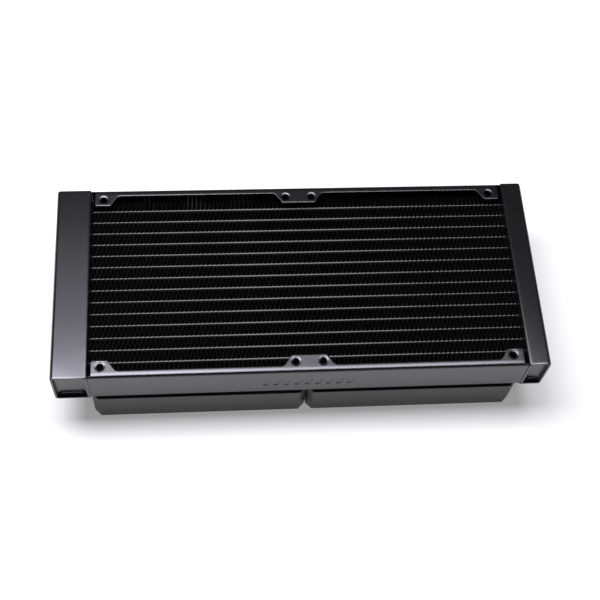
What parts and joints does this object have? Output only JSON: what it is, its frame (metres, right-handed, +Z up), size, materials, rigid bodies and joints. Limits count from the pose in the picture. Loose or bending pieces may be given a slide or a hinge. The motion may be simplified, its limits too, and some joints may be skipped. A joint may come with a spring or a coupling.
{
  "type": "liquid cooling radiator",
  "caption": "Black liquid cooling radiator with end tanks, flat tubes and folded fins, standing on its square axial fans.",
  "frame": {"origin": "centre of the footprint, on the surface that the fans' intake faces stand on", "axes": "+X along the radiator from the hose tank to the return tank, +Y across it to the rear side channel, +Z up through the fans and the core, the way the air flows"},
  "size_m": [0.272, 0.1194, 0.052],
  "materials": {
    "radiator_paint": "satin black powder coat with a fine texture",
    "tube_aluminium": "black paint worn thin on the tube noses",
    "fin_aluminium": "thin matte black paint over aluminium foil",
    "fan_plastic": "fine moulded texture",
    "impeller_plastic": "smooth satin moulding",
    "screw_steel": "black zinc plating",
    "yoke_steel": "turned and plated",
    "winding_copper": "enamelled copper winding on an iron core",
    "brass": "machined, nickel-free brass"
  },
  "bodies": {
    "root": {"fin_strip_01": "fin_aluminium", "fin_strip_02": "fin_aluminium", "fin_strip_03": "fin_aluminium", "fin_strip_04": "fin_aluminium", "fin_strip_05": "fin_aluminium", "fin_strip_06": "fin_aluminium", "fin_strip_07": "fin_aluminium", "fin_strip_08": "fin_aluminium", "fin_strip_09": "fin_aluminium", "fin_strip_10": "fin_aluminium", "fin_strip_11": "fin_aluminium", "fin_strip_12": "fin_aluminium", "fin_strip_13": "fin_aluminium", "fin_strip_14": "fin_aluminium", "fin_strip_15": "fin_aluminium", "flat_tube_01": "tube_aluminium", "flat_tube_02": "tube_aluminium", "flat_tube_03": "tube_aluminium", "flat_tube_04": "tube_aluminium", "flat_tube_05": "tube_aluminium", "flat_tube_06": "tube_aluminium", "flat_tube_07": "tube_aluminium", "flat_tube_08": "tube_aluminium", "flat_tube_09": "tube_aluminium", "flat_tube_10": "tube_aluminium", "flat_tube_11": "tube_aluminium", "flat_tube_12": "tube_aluminium", "flat_tube_13": "tube_aluminium", "flat_tube_14": "tube_aluminium", "front_side_channel": "radiator_paint", "hose_header_plate": "radiator_paint", "hose_tank": "radiator_paint", "hose_tank_baffle": "radiator_paint", "hose_tank_front_cap": "radiator_paint", "hose_tank_rear_cap": "radiator_paint", "inlet_port": "brass", "left_bearing": "brass", "left_fan_frame": "fan_plastic", "left_fan_screw_1": "screw_steel", "left_fan_screw_2": "screw_steel", "left_fan_screw_3": "screw_steel", "left_fan_screw_4": "screw_steel", "left_stator": "winding_copper", "outlet_port": "brass", "rear_side_channel": "radiator_paint", "return_header_plate": "radiator_paint", "return_tank": "radiator_paint", "return_tank_front_cap": "radiator_paint", "return_tank_rear_cap": "radiator_paint", "right_bearing": "brass", "right_fan_frame": "fan_plastic", "right_fan_screw_1": "screw_steel", "right_fan_screw_2": "screw_steel", "right_fan_screw_3": "screw_steel", "right_fan_screw_4": "screw_steel", "right_stator": "winding_copper"},
    "left_rotor": {"left_impeller": "impeller_plastic", "left_rotor_yoke": "yoke_steel"},
    "right_rotor": {"right_impeller": "impeller_plastic", "right_rotor_yoke": "yoke_steel"}
  },
  "joints": [
    {"name": "left_fan_spin", "type": "hinge", "parent": "root", "child": "left_rotor", "pos_m": [-0.057, 0, 0.012], "axis": [0, 0, 1], "continuous": true},
    {"name": "right_fan_spin", "type": "hinge", "parent": "root", "child": "right_rotor", "pos_m": [0.063, 0, 0.012], "axis": [0, 0, 1], "continuous": true}
  ]
}
